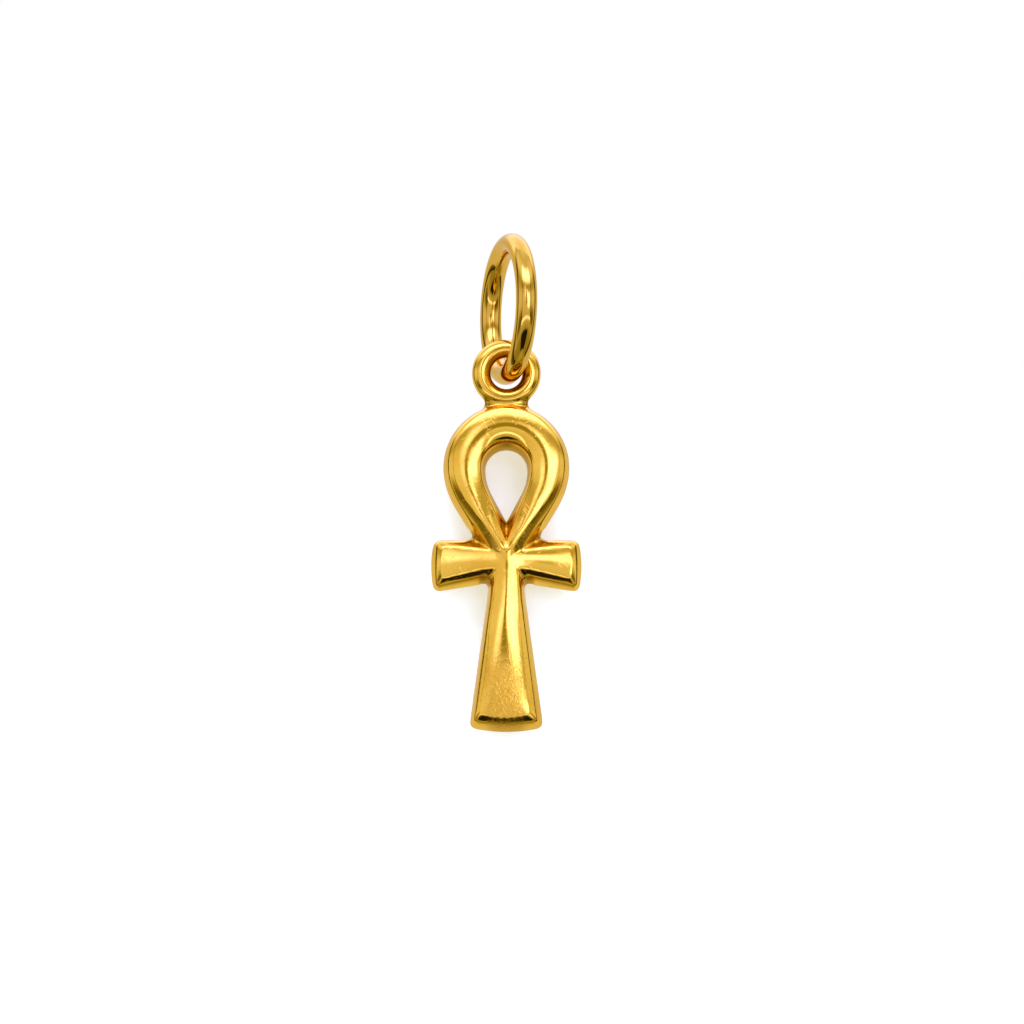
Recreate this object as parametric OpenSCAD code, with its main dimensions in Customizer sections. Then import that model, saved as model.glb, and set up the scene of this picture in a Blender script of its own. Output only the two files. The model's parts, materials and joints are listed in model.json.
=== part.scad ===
// Ankh pendant in polished gold on a round jump ring, millimetres, +Z up, front towards -Y.
// The origin is where a chain carries the ring: the highest point of its inside.

/* [Jump ring] */
// Outer diameter of the jump ring
ring_outer_d = 7.15; // [6.8:0.05:7.6]
// Diameter of the ring's round wire
ring_wire_d = 1.0; // [0.8:0.05:1.04]
// Angle that the ring's plane is turned from straight front to back, degrees
ring_turn = 16; // [0:1:20]

/* [Eye and neck] */
// Diameter of the eye's middle line, from tube centre to tube centre
eye_ring_d = 2.36; // [2.3:0.02:2.5]
// Diameter of the eye's round tube
eye_tube_d = 0.88; // [0.7:0.02:0.9]
// Radius of the hollow on each side of the neck, which meets the eye and the loop smoothly
neck_hollow_r = 0.41; // [0.4:0.005:0.42]
// Thickness of the neck, front to back
neck_t = 0.62; // [0.5:0.02:0.66]
// Height of the eye's centre above the centre of the hub, where the limbs cross
eye_above_hub = 8.84; // [8.82:0.01:8.86]
// Sideways shift of the cross from the middle of the ring's wire
cross_shift = -0.10; // [-0.1:0.01:0.1]

/* [Loop] */
// Radius of the loop's outer outline at its top and sides
loop_outer_r = 2.98; // [2.9:0.01:3.05]
// Height of the outer outline's centre above the hub
loop_outer_z = 4.38; // [4.36:0.01:4.4]
// Radius of the outer outline where the sides run down
loop_side_r = 3.53; // [3.4:0.01:3.6]
// Angle of the outer outline's straight run from the vertical, degrees
loop_side_angle = 31; // [29:0.5:32]
// Radius of the opening's round top
hole_r = 0.985; // [0.9:0.005:1.05]
// Height of the opening's centre above the hub
hole_z = 4.25; // [4.2:0.01:4.3]
// Radius of the opening's outline where its sides run down
hole_side_r = 2.34; // [2.2:0.01:2.5]
// Angle of the opening's straight sides from the vertical, degrees
hole_side_angle = 28; // [27:0.5:29]

/* [Crossbar] */
// Length of the crossbar from end to end
bar_l = 6.96; // [6.8:0.01:7.2]
// Height of the crossbar's top edge above the hub
bar_top_z = 0.94; // [0.85:0.01:1]
// Depth of the crossbar's bottom edge below the hub, at the hub
bar_bottom_mid = 0.95; // [0.85:0.01:1]
// Depth of the crossbar's bottom edge below the hub, at its ends
bar_bottom_end = 1.52; // [1.4:0.01:1.6]
// Radius of the crossbar's corners, seen from the front
bar_corner_r = 0.41; // [0.2:0.01:0.41]
// How far the crossbar's ends bow out
bar_end_bow = 0.06; // [0:0.01:0.1]
// Radius of the hollow corners between the crossbar and its neighbours
inner_corner_r = 0.30; // [0.2:0.01:0.35]

/* [Foot] */
// Depth of the foot's end below the hub
foot_z = 8.01; // [7.8:0.01:8.3]
// Half width of the upright where it leaves the crossbar
upright_half_w = 0.86; // [0.75:0.01:0.95]
// Half width of the foot, as the sides run straight to its end
foot_half_w = 1.76; // [1.6:0.01:1.9]
// Radius of the foot's corners, seen from the front
foot_corner_r = 0.41; // [0.2:0.01:0.41]
// How far the foot's end bows out
foot_end_bow = 0.12; // [0:0.01:0.15]

/* [Section] */
// Height of the rim's crisp edge in front of the middle plane
edge_h = 0.60; // [0.5:0.01:0.65]
// Height of the face's crown over the crisp edge, on a wide face
crown_h = 0.18; // [0.1:0.01:0.25]
// Depth of the flat back behind the middle plane
back_h = 0.72; // [0.6:0.01:0.8]

/* [Hidden] */
gold = [0.86, 0.68, 0.26];

// Jump ring: its middle line and where its wire is lowest
ring_r = (ring_outer_d - ring_wire_d) / 2;
ring_centre_z = -(ring_outer_d / 2 - ring_wire_d);
wire_low_z = ring_centre_z - ring_r;

// Rim and back of every limb: how far in from the edge, as a share of the rim's width, and how high
rim_share = [0, 0.13, 0.4, 1];
wall_front_h = 0.10;
rim_height = [[0, wall_front_h], [0.13, 0.27], [0.4, 0.43], [1, edge_h]];
back_inset = [0, 0.1, 0.26, 0.46];
back_depth = [[0, 0.25], [0.1, 0.5], [0.26, 0.66], [0.46, back_h]];
// Where the face has its points, as a share of the face's width
face_share = [0.15, 0.38, 0.62, 0.85];
// Face width at which the crown has its whole height
full_crown_w = 1.1;
// Run over which the face rises from a limb's end
end_run = 0.6;
// Loop's section from the top round to the hub: angle or share of the straight run, rim widths
turn = 0;
rim_out = 1;
rim_in = 2;
//          angle  outer inner
arc_rims = [[0,    0.27, 0.46],
            [30,   0.31, 0.40],
            [60,   0.38, 0.30],
            [90,   0.43, 0.24],
            [120,  0.34, 0.26]];
//               share outer inner
straight_rims = [[0,   0.32, 0.27],
                 [0.5, 0.30, 0.36],
                 [1,   0.30, 0.42]];
arc_steps = 12;
side_steps = 4;
straight_steps = 9;

// Crossbar's rims from its end to the hub: share of its half length, top, bottom
//          share top   bottom
bar_rims = [[0,   0.52, 0.52],
            [0.3, 0.50, 0.46],
            [0.6, 0.40, 0.34],
            [1,   0.31, 0.24]];
bar_end_rim = 0.42;
bar_steps = 7;

// Upright's rim from the hub down to the foot: depth below the hub, rim width
//              depth rim
upright_rims = [[0,    0.42],
                [1.5,  0.39],
                [3.9,  0.37],
                [7.5,  0.46]];
foot_end_rim = 0.42;
upright_top_z = 0.55;
upright_steps = 9;

// Height of a section's front point: q is its distance in from the outline, 1 on the crisp edge
function front_h(q, face_t, crown) =
    q < 1 ? lookup(q, rim_height) : edge_h + crown * (1 - pow(abs(2 * face_t - 1), 2));

// Share of the rim that a rounded corner takes away at distance q from the end
function corner_q(q, corner) = q < corner ? corner - sqrt(corner * corner - pow(corner - q, 2)) : 0;

// Distance in from the outline where a corner is round, in shares of the rim
function rounded_q(q, q_end, corner) = q < corner && q_end < corner
    ? corner - norm([corner - q, corner - q_end])
    : min(q, q_end);

// One section across a limb, from edge point a to edge point b, both [x, z].
// rim_a and rim_b are the rims' widths. end_in is the distance from the limb's end, whose rim is
// end_rim wide, with corners of radius corner_r. bow is how far the end's middle stands out, [x, z].
function section(a, b, rim_a, rim_b, end_in = 100, end_rim = 1, corner_r = 0, bow = [0, 0]) =
    let (w = norm(b - a),
         across = (b - a) / w,
         face_w = w - rim_a - rim_b,
         crown = crown_h * min(1, face_w / full_crown_w),
         q_end = end_in / end_rim,
         corner = corner_r / end_rim,
         q0 = corner_q(q_end, corner),
         end_t = min(1, max(0, end_in - end_rim) / end_run),
         end_h = q_end < 1 ? lookup(q_end, rim_height) : edge_h + crown * (1 - pow(1 - end_t, 2)),
         back_end = -lookup(end_in, back_depth),
         rim_points = [for (s = rim_share) q0 + (1 - q0) * s],
         rim_heights = [for (q = rim_points) min(end_h, front_h(rounded_q(q, q_end, corner), 0, crown))],
         last = len(rim_share) - 1,
         inner = len(back_inset) - 1,
         outline = concat(
             [for (i = [0:last]) [rim_points[i] * rim_a, rim_heights[i]]],
             [for (t = face_share) [rim_a + t * face_w, min(end_h, front_h(1, t, crown))]],
             [for (i = [last:-1:0]) [w - rim_points[i] * rim_b, rim_heights[i]]],
             [for (v = back_inset) [w - q0 * rim_b - v, max(back_end, -lookup(v, back_depth))]],
             [for (i = [inner:-1:0]) let (v = back_inset[i])
                 [q0 * rim_a + v, max(back_end, -lookup(v, back_depth))]]))
    [for (p = outline)
        let (spot = a + across * p[0] + bow * max(0, 1 - q_end) * (1 - pow(2 * p[0] / w - 1, 2)))
        [spot[0], -p[1], spot[1]]];

function sum(values, i = 0) = i < len(values) ? values[i] + sum(values, i + 1) : 0;
function middle(points) = [for (axis = [0:2]) sum([for (p = points) p[axis]]) / len(points)];

// Skin between neighbouring sections, with a fan at each end
module loft(sections) {
    n = len(sections[0]);
    m = len(sections);
    points = concat([for (s = sections) each s], [middle(sections[0]), middle(sections[m - 1])]);
    sides = [for (k = [0:m - 2]) for (i = [0:n - 1])
        let (j = (i + 1) % n,
             p = k * n + i,
             q = k * n + j)
        each [[p, p + n, q], [q, p + n, q + n]]];
    first = [for (i = [0:n - 1]) [i, (i + 1) % n, m * n]];
    final = [for (i = [0:n - 1]) [(m - 1) * n + (i + 1) % n, (m - 1) * n + i, m * n + 1]];
    polyhedron(points = points, faces = concat(sides, first, final), convexity = 6);
}

// Loop's outlines: a circle's arc over the top, then a wider arc down the side
function outline_arc(r, centre_z, side_r, angle) =
    angle <= 90
        ? [r * sin(angle), centre_z + r * cos(angle)]
        : [r - side_r * (1 - cos(angle - 90)), centre_z - side_r * sin(angle - 90)];
outer_end = outline_arc(loop_outer_r, loop_outer_z, loop_side_r, 90 + loop_side_angle);
inner_end = outline_arc(hole_r, hole_z, hole_side_r, 90 + hole_side_angle);
outer_way = [-sin(loop_side_angle), -cos(loop_side_angle)];
inner_way = [-sin(hole_side_angle), -cos(hole_side_angle)];
outer_run = 2.75;
inner_run = 3.1;

loop_sections = concat(
    [for (k = [0:arc_steps]) let (angle = 90 * k / arc_steps)
        section(outline_arc(loop_outer_r, loop_outer_z, loop_side_r, angle),
                outline_arc(hole_r, hole_z, hole_side_r, angle),
                lookup(angle, [for (row = arc_rims) [row[turn], row[rim_out]]]),
                lookup(angle, [for (row = arc_rims) [row[turn], row[rim_in]]]))],
    [for (k = [1:side_steps]) let (t = k / side_steps)
        section(outline_arc(loop_outer_r, loop_outer_z, loop_side_r, 90 + t * loop_side_angle),
                outline_arc(hole_r, hole_z, hole_side_r, 90 + t * hole_side_angle),
                lookup(90 + 30 * t, [for (row = arc_rims) [row[turn], row[rim_out]]]),
                lookup(90 + 30 * t, [for (row = arc_rims) [row[turn], row[rim_in]]]))],
    [for (k = [1:straight_steps]) let (t = k / straight_steps)
        section(outer_end + outer_way * t * outer_run,
                inner_end + inner_way * t * inner_run,
                lookup(t, [for (row = straight_rims) [row[turn], row[rim_out]]]),
                lookup(t, [for (row = straight_rims) [row[turn], row[rim_in]]]))]);

// Crossbar: steps in from the end over its rim, then evenly to the hub
function end_steps(rim) = [for (s = [0, 0.05, 0.13, 0.25, 0.4, 0.7, 1]) s * rim];
bar_half = bar_l / 2;
bar_insets = concat(end_steps(bar_end_rim),
    [for (k = [1:bar_steps]) bar_end_rim + (bar_half - bar_end_rim) * k / bar_steps]);
function bar_section(inset, side) =
    let (x = side * (bar_half - inset),
         from_hub = 1 - inset / bar_half,
         bottom = -bar_bottom_mid - (bar_bottom_end - bar_bottom_mid) * from_hub)
    section([x, bar_top_z], [x, bottom],
            lookup(from_hub, [for (row = bar_rims) [row[turn], row[rim_out]]]),
            lookup(from_hub, [for (row = bar_rims) [row[turn], row[rim_in]]]),
            inset, bar_end_rim, bar_corner_r, [side * bar_end_bow, 0]);
bar_sections = concat([for (inset = bar_insets) bar_section(inset, -1)],
    [for (i = [len(bar_insets) - 2:-1:0]) bar_section(bar_insets[i], 1)]);

// Upright: from its foot up into the hub
upright_insets = concat(end_steps(foot_end_rim),
    [for (k = [1:upright_steps])
        foot_end_rim + (foot_z + upright_top_z - foot_end_rim) * k / upright_steps]);
upright_slope = (foot_half_w - upright_half_w) / (foot_z - bar_bottom_end);
upright_sections = [for (inset = upright_insets)
    let (depth = foot_z - inset,
         half = upright_half_w + upright_slope * (depth - bar_bottom_end),
         rim = lookup(depth, [for (row = upright_rims) [row[turn], row[rim_out]]]))
    section([-half, -depth], [half, -depth], rim, rim,
            inset, foot_end_rim, foot_corner_r, [0, -foot_end_bow])];

module jump_ring() {
    color(gold)
        translate([0, 0, ring_centre_z])
            rotate([90, 0, ring_turn - 90])
                rotate_extrude($fn = 96)
                    translate([ring_r, 0])
                        circle(d = ring_wire_d, $fn = 32);
}

// Eye: a round tube bent to a ring, that faces the front
module eye() {
    rotate([90, 0, 0])
        rotate_extrude($fn = 72)
            translate([eye_ring_d / 2, 0])
                circle(d = eye_tube_d, $fn = 32);
}

// Neck: a plate between eye and loop, hollowed on each side by a circle that touches both
eye_outer_r = (eye_ring_d + eye_tube_d) / 2;
loop_below_eye = eye_above_hub - loop_outer_z;
to_eye = eye_outer_r + neck_hollow_r;
to_loop = loop_outer_r + neck_hollow_r;
hollow_z = -(to_eye * to_eye - to_loop * to_loop + loop_below_eye * loop_below_eye)
    / (2 * loop_below_eye);
hollow_x = sqrt(to_eye * to_eye - hollow_z * hollow_z);
neck_top_z = hollow_z * eye_outer_r / to_eye;
neck_low_z = -loop_below_eye + (hollow_z + loop_below_eye) * loop_outer_r / to_loop;
module neck() {
    rotate([90, 0, 0])
        linear_extrude(neck_t, center = true)
            difference() {
                translate([-hollow_x, neck_low_z])
                    square([2 * hollow_x, neck_top_z - neck_low_z]);
                for (side = [-1, 1])
                    translate([side * hollow_x, hollow_z])
                        circle(neck_hollow_r, $fn = 48);
            }
}

// Hollow corner between two straight edges that leave the corner in directions d1 and d2
corner_front = 0.16;
corner_back = -0.36;
corner_sink = 0.12;
function unit(v) = v / norm(v);
module inner_corner(corner, d1, d2) {
    half_angle = acos(d1 * d2) / 2;
    reach = inner_corner_r / tan(half_angle);
    inward = (d1 + d2) / norm(d1 + d2);
    centre = corner + inward * inner_corner_r / sin(half_angle);
    rotate([90, 0, 0])
        translate([0, 0, corner_back])
            linear_extrude(corner_front - corner_back)
                difference() {
                    polygon([corner - inward * corner_sink, corner + d1 * reach, centre,
                             corner + d2 * reach]);
                    translate(centre)
                        circle(inner_corner_r, $fn = 48);
                }
}

// The loop's side meets the crossbar's top edge, and the upright meets its bottom edge
bar_fall = (bar_bottom_end - bar_bottom_mid) / bar_half;
notch_x = outer_end[0] - (outer_end[1] - bar_top_z) * tan(loop_side_angle);
armpit_z = -(bar_bottom_mid + bar_fall * upright_half_w);
module inner_corners() {
    inner_corner([notch_x, bar_top_z], [1, 0], -outer_way);
    inner_corner([upright_half_w, armpit_z], unit([1, -bar_fall]), unit([upright_slope, -1]));
}

module half_loop() {
    loft(loop_sections);
}

module ankh() {
    color(gold)
        translate([cross_shift, 0, wire_low_z]) {
            eye();
            neck();
            translate([0, 0, -eye_above_hub]) {
                half_loop();
                inner_corners();
                mirror([1, 0, 0]) {
                    half_loop();
                    inner_corners();
                }
                loft(bar_sections);
                loft(upright_sections);
            }
        }
}

jump_ring();
ankh();
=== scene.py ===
"""Ankh pendant in polished gold on a round jump ring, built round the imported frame."""

import json
import math

import bmesh
import bpy
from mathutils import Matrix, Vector


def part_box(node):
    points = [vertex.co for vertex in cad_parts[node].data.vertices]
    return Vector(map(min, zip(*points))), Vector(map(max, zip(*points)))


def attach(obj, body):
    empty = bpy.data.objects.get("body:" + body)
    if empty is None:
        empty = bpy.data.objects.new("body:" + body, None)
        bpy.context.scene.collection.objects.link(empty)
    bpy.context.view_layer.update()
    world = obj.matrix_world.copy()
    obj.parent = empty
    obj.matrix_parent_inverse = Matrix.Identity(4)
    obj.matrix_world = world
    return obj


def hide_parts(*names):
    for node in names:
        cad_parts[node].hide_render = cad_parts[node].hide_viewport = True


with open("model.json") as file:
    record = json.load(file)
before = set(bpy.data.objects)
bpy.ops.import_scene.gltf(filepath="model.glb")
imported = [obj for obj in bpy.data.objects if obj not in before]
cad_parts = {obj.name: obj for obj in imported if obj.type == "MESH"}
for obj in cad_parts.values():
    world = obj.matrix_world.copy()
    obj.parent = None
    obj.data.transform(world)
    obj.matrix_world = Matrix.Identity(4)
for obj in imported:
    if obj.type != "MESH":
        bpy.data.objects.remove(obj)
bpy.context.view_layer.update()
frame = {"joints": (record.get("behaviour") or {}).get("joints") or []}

# Sizes are in millimetres until a piece is finished, and its mesh is then scaled to metres
MM = 0.001

# Places from the frame: the hinge is the middle of the ring's wire at its lowest point, and the height 0
# is under the wire's top, where a chain hangs
hinge = frame["joints"][0]
EYE_Z = hinge["pos_m"][2] / MM
RING_TURN = math.atan2(hinge["axis"][0], -hinge["axis"][1])
WIRE_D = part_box("jump_ring")[1].z / MM
RING_R = (WIRE_D / 2 - EYE_Z) / 2
CROSS_X = (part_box("ankh")[0].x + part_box("ankh")[1].x) / 2 / MM

# Eye: the middle line of its tube across, the tube's width, and its middle above the hub
EYE_RING_D = 2.36
EYE_TUBE_D = 0.88
EYE_ABOVE_HUB = 8.84

# Outlines of the loop and its teardrop hole: an arc over the top, a wider arc down the side, then a
# straight run. The heights of their middles are above the hub
LOOP_R, LOOP_Z, LOOP_SIDE_R, LOOP_ANGLE, LOOP_RUN = 2.99, 4.43, 3.53, 31, 3.3
HOLE_R, HOLE_Z, HOLE_SIDE_R, HOLE_ANGLE, HOLE_RUN = 0.985, 4.25, 2.34, 28, 3.65

# Crossbar: half its length, its top edge above the hub, its bottom edge below the hub in the middle and
# at the ends, and how far the ends bulge
BAR_HALF = 3.48
BAR_TOP = 0.98
BAR_BOTTOM_MID = 0.95
BAR_BOTTOM_END = 1.52
BAR_BOW = 0.06
# Upright: its foot below the hub, and how far it bulges
FOOT_Z = 8.0
FOOT_BOW = 0.12

# Section: the rim's crisp edge and the flat back, from the middle plane
EDGE_H = 0.60
BACK_H = 0.72
# Corner of the face inside the rims
PANEL_CORNER = 0.25

# How firmly a creased edge stays crisp when its limb is subdivided, from 0 to 1
CRISPNESS = 0.9
# How far one round of smoothing moves a point towards the middle of its neighbours
SMOOTHING = 0.5
# Faces round the wire and the eye's tube
TUBE_SEGMENTS = 40


def mix(a, b, t):
    """a at t = 0, b at t = 1."""
    return a + (b - a) * t


def column(table, i):
    """Rows [place, value] from column i of a table with a place and several values."""
    return [[row[0], row[i]] for row in table]


def along(table, x):
    """Value at x of a table of rows [place, value], straight between its rows."""
    if x <= table[0][0]:
        return table[0][1]
    for (x0, y0), (x1, y1) in zip(table, table[1:]):
        if x <= x1:
            return mix(y0, y1, (x - x0) / (x1 - x0))
    return table[-1][1]


def loft(name, rings, creased=(), strips=None):
    """A closed limb: a circle's face is shaped to the first ring, then extruded from ring to ring.
    creased has (ring or None, point or None) pairs: that whole ring, or that point's line along the limb.
    strips is the count and total with which close_in_strips closes the last ring."""
    bpy.ops.object.select_all(action="DESELECT")
    bpy.ops.mesh.primitive_circle_add(vertices=len(rings[0]), fill_type="NGON")
    limb = bpy.context.object
    limb.name = name
    bpy.ops.object.mode_set(mode="EDIT")
    mesh = bmesh.from_edit_mesh(limb.data)
    row = list(range(len(rings[0])))
    rows = [row]
    shape(mesh, row, rings[0])
    for ring in rings[1:]:
        bpy.ops.mesh.extrude_region_move()
        mesh = bmesh.from_edit_mesh(limb.data)
        mesh.verts.ensure_lookup_table()
        row = [next(e.other_vert(mesh.verts[i]).index for e in mesh.verts[i].link_edges
                    if e.other_vert(mesh.verts[i]).select) for i in row]
        rows.append(row)
        shape(mesh, row, ring)
    for ring, point in creased:
        crease(mesh, rows, ring, point)
    if strips:
        close_in_strips(mesh, rows[-1], *strips)
    bmesh.update_edit_mesh(limb.data)
    bpy.ops.mesh.select_all(action="SELECT")
    bpy.ops.mesh.normals_make_consistent(inside=False)
    bpy.ops.object.mode_set(mode="OBJECT")
    return limb


def shape(mesh, row, ring):
    """Moves a row of points to a ring's places."""
    mesh.verts.ensure_lookup_table()
    for i, place in zip(row, ring):
        mesh.verts[i].co = place


def crease(mesh, rows, ring, point):
    """Makes a ring, or a point's line along the limb, keep its crisp edge when it is subdivided."""
    layer = mesh.edges.layers.float.get("crease_edge") or mesh.edges.layers.float.new("crease_edge")
    mesh.verts.ensure_lookup_table()
    line = rows[ring] + rows[ring][:1] if point is None else [row[point] for row in rows]
    for i, j in zip(line, line[1:]):
        edge = mesh.edges.get((mesh.verts[i], mesh.verts[j]))
        edge[layer] = CRISPNESS


def close_in_strips(mesh, row, count, total):
    """Swaps the selected end face for strips across it, from point i to point total - i for the first
    count points, and one face at each end."""
    mesh.verts.ensure_lookup_table()
    ring = [mesh.verts[i] for i in row]
    bmesh.ops.delete(mesh, geom=[face for face in mesh.faces if face.select], context="FACES_ONLY")
    for i in range(count - 1):
        mesh.faces.new((ring[i], ring[i + 1], ring[total - i - 1], ring[total - i]))
    for end in (ring[count - 1:total - count + 2], ring[total:] + ring[:1]):
        if len(end) > 2:
            mesh.faces.new(end)


def modify(piece, kind, **settings):
    """Adds a modifier and applies it at once."""
    bpy.ops.object.select_all(action="DESELECT")
    piece.select_set(True)
    bpy.context.view_layer.objects.active = piece
    bpy.ops.object.modifier_add(type=kind)
    modifier = piece.modifiers[-1]
    for setting, value in settings.items():
        setattr(modifier, setting, value)
    bpy.ops.object.modifier_apply(modifier=modifier.name)


def soften(piece, spots, radius, repeat):
    """Smooths a piece within a radius of each spot, as a graver or a buffing wheel leaves it."""
    bpy.ops.object.select_all(action="DESELECT")
    piece.select_set(True)
    bpy.context.view_layer.objects.active = piece
    bpy.ops.object.mode_set(mode="EDIT")
    bpy.ops.mesh.select_all(action="DESELECT")
    bpy.ops.mesh.select_mode(type="VERT")
    mesh = bmesh.from_edit_mesh(piece.data)
    for point in mesh.verts:
        point.select = any((point.co - spot).length < radius for spot in spots)
    mesh.select_flush(True)
    bpy.ops.mesh.vertices_smooth(factor=SMOOTHING, repeat=repeat)
    bpy.ops.object.mode_set(mode="OBJECT")


def outline_arc(r, centre_z, side_r, angle):
    """Point [x, z] of a loop outline at an angle from its top."""
    a = math.radians(angle)
    if angle <= 90:
        return Vector((r * math.sin(a), centre_z + r * math.cos(a)))
    a -= math.pi / 2
    return Vector((r - side_r * (1 - math.cos(a)), centre_z - side_r * math.sin(a)))


# Rim across a limb: share of its width, height
RIM = [[0, -0.28], [0.2, 0.04], [0.33, 0.22], [0.46, 0.37], [0.56, 0.44], [0.78, 0.53], [1, EDGE_H]]
# Rim of the loop's hole, nearly all of it wall, and the same between the strands
HOLE_RIM = [[0, -0.20], [0.2, 0.06], [0.4, 0.25], [0.56, 0.38], [0.70, 0.48], [0.86, 0.55], [1, EDGE_H]]
GROOVE_RIM = [[0, -0.1], [0.2, -0.04], [0.4, 0.02], [0.56, 0.08], [0.70, 0.14], [0.86, 0.28], [1, EDGE_H]]
# Back of a limb: inset from its edge, height
BACK = [[0, -0.46], [0.06, -0.60], [0.2, -0.69], [0.42, -BACK_H]]
FACE_SHARES = (0.12, 0.32, 0.5, 0.68, 0.88)
# How much sooner a facet's rise is lost on its inner side
FACET_FALL = 1.6


def strand_section(a, b, rim_a, rim_b, crown, crest, facet, facet_rise, lean):
    """Section of the loop from its outer point a to its inner point b, both [x, z].
    crest is the share of the face where the crown is highest. facet is the share of the face that
    slopes down to the outer rim, and facet_rise is how far it does. lean is 1 where that rim is one slope."""
    width = (b - a).length
    across = (b - a) / width
    face = width - rim_a - rim_b
    front = [(share * rim_a, mix(h, share * EDGE_H, lean)) for share, h in RIM]
    for share in FACE_SHARES:
        t = mix(facet, 1, (share - FACE_SHARES[0]) / (1 - FACE_SHARES[0]))
        reach = crest if t < crest else 1 - crest
        rise = facet_rise * min(1, t / facet, (1 - t) / (1 - facet) * FACET_FALL)
        front.append((rim_a + t * face, EDGE_H + crown * (1 - ((t - crest) / reach) ** 2) + rise))
    inner = [(share, mix(h, low, lean)) for (share, h), (_, low) in zip(HOLE_RIM, GROOVE_RIM)]
    front += [(width - share * rim_b, h) for share, h in reversed(inner)]
    back = [(width - inset, h) for inset, h in BACK] + [(inset, h) for inset, h in reversed(BACK)]
    spots = [(a + across * u, h) for u, h in front + back]
    return [Vector((spot[0], -h, spot[1])) for spot, h in spots]


# Loop from its top to its strand's end. turn is the angle from the top, and past STRAIGHT it counts on
# down the straight run to RUN_END. Rims, crown, crest and facet are as in strand_section
STRAIGHT = 121
RUN_END = 265
#        turn outer inner crown crest facet rise lean
STRAND = [[0,   0.28, 0.48, 0.14, 0.60, 0.10, 0.00, 0],
          [30,  0.32, 0.44, 0.14, 0.58, 0.10, 0.00, 0],
          [60,  0.40, 0.33, 0.13, 0.54, 0.10, 0.00, 0],
          [90,  0.45, 0.26, 0.13, 0.50, 0.10, 0.00, 0],
          [STRAIGHT, 0.44, 0.26, 0.13, 0.48, 0.12, 0.02, 0],
          [160, 0.42, 0.32, 0.11, 0.46, 0.22, 0.08, 0.2],
          [200, 0.42, 0.46, 0.08, 0.54, 0.42, 0.15, 0.7],
          [240, 0.42, 0.54, 0.06, 0.62, 0.55, 0.17, 1],
          [RUN_END, 0.42, 0.54, 0.05, 0.65, 0.58, 0.15, 1]]
# Sections round the top's quarter turn, down the side's arc and down the straight run
TOP_STEPS, SIDE_STEPS, RUN_STEPS = 8, 3, 10


def run_way(angle):
    """Direction [x, z] of a straight run that leans in by an angle."""
    return Vector((-math.sin(math.radians(angle)), -math.cos(math.radians(angle))))


def loop_point(angle):
    """Point of the loop's outer outline at an angle from its top."""
    return outline_arc(LOOP_R, LOOP_Z, LOOP_SIDE_R, angle)


def hole_point(angle):
    """Point of the teardrop hole's outline at an angle from its top."""
    return outline_arc(HOLE_R, HOLE_Z, HOLE_SIDE_R, angle)


def loop_sections():
    """The half loop's sections from its top to its strand's end."""
    ends = []
    for k in range(TOP_STEPS + 1):
        turn = 90 * k / TOP_STEPS
        ends.append((turn, loop_point(turn), hole_point(turn)))
    for k in range(1, SIDE_STEPS + 1):
        t = k / SIDE_STEPS
        ends.append((mix(90, STRAIGHT, t), loop_point(90 + t * LOOP_ANGLE), hole_point(90 + t * HOLE_ANGLE)))
    outer_end = loop_point(90 + LOOP_ANGLE)
    inner_end = hole_point(90 + HOLE_ANGLE)
    for k in range(1, RUN_STEPS + 1):
        t = k / RUN_STEPS
        ends.append((mix(STRAIGHT, RUN_END, t), outer_end + run_way(LOOP_ANGLE) * t * LOOP_RUN,
                     inner_end + run_way(HOLE_ANGLE) * t * HOLE_RUN))
    sections = []
    for turn, a, b in ends:
        values = [along(column(STRAND, i), turn) for i in range(1, len(STRAND[0]))]
        sections.append(strand_section(a, b, *values))
    return sections


def loop_limb():
    """The whole loop in one run, from one strand's end over the top to the other's."""
    half = loop_sections()
    mirrored = [[Vector((-p.x, p.y, p.z)) for p in section] for section in half]
    crisp = len(RIM) - 1
    inner_crisp = crisp + len(FACE_SHARES) + 1
    return loft("loop", mirrored[:0:-1] + half, [(None, crisp), (None, inner_crisp)])


# Crossbar's rims and crown from the hub to its end, at shares of its half length
BAR_TOP_RIM = [[0, 0.22], [0.04, 0.32], [0.08, 0.52], [0.12, 0.62], [0.2, 0.62], [0.34, 0.54], [0.6, 0.42],
               [1, 0.36]]
BAR_BOTTOM_RIM = [[0, 0.45], [0.15, 0.52], [0.32, 0.58], [0.56, 0.52], [0.84, 0.45], [1, 0.43]]
BAR_CROWN = [[0, 0.05], [0.15, 0.04], [0.35, 0.06], [0.6, 0.08], [1, 0.06]]
# At the hub its top edge dips by HUB_DIP, less and less out to a share HUB_REACH of its half length
HUB_DIP, HUB_REACH = 0.34, 0.12
# Its face rises to the hub, the more steeply the nearer it is, and falls away evenly to its ends
BAR_RISE, BAR_RISE_POWER = 0.13, 4
BAR_SAG = 0.25
# Its top rim is one slope near the hub, where this is 1
BAR_LEAN = [[0.46, 1], [0.66, 0]]
# Places along the crossbar's half, as shares of its straight run
BAR_PLACES = (0, 0.04, 0.08, 0.12, 0.18, 0.26, 0.36, 0.48, 0.62, 0.78, 0.9, 1)
# Rim at its ends, and the radius of its corners
BAR_END_RIM = 0.42
BAR_CORNER = 0.41
# The spine of each limb's face ends this far in from its end rim
BAR_SPINE_END = 0.75
UPRIGHT_SPINE_END = 0.9
# Points round a corner, and along an end between its corners
CORNER_TURNS = (30, 60)
END_POINTS = 5
# The face's lift sets in over this share of the rim's width
RIM_LIFT = 0.5


def bar_edges(x, share):
    """Top and bottom edge of the crossbar at x, in from its outline by a share of its rims."""
    out = abs(x) / BAR_HALF
    dip = HUB_DIP * max(0, 1 - out / HUB_REACH)
    return (BAR_TOP - dip - share * along(BAR_TOP_RIM, out),
            share * along(BAR_BOTTOM_RIM, out) - mix(BAR_BOTTOM_MID, BAR_BOTTOM_END, out))


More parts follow.
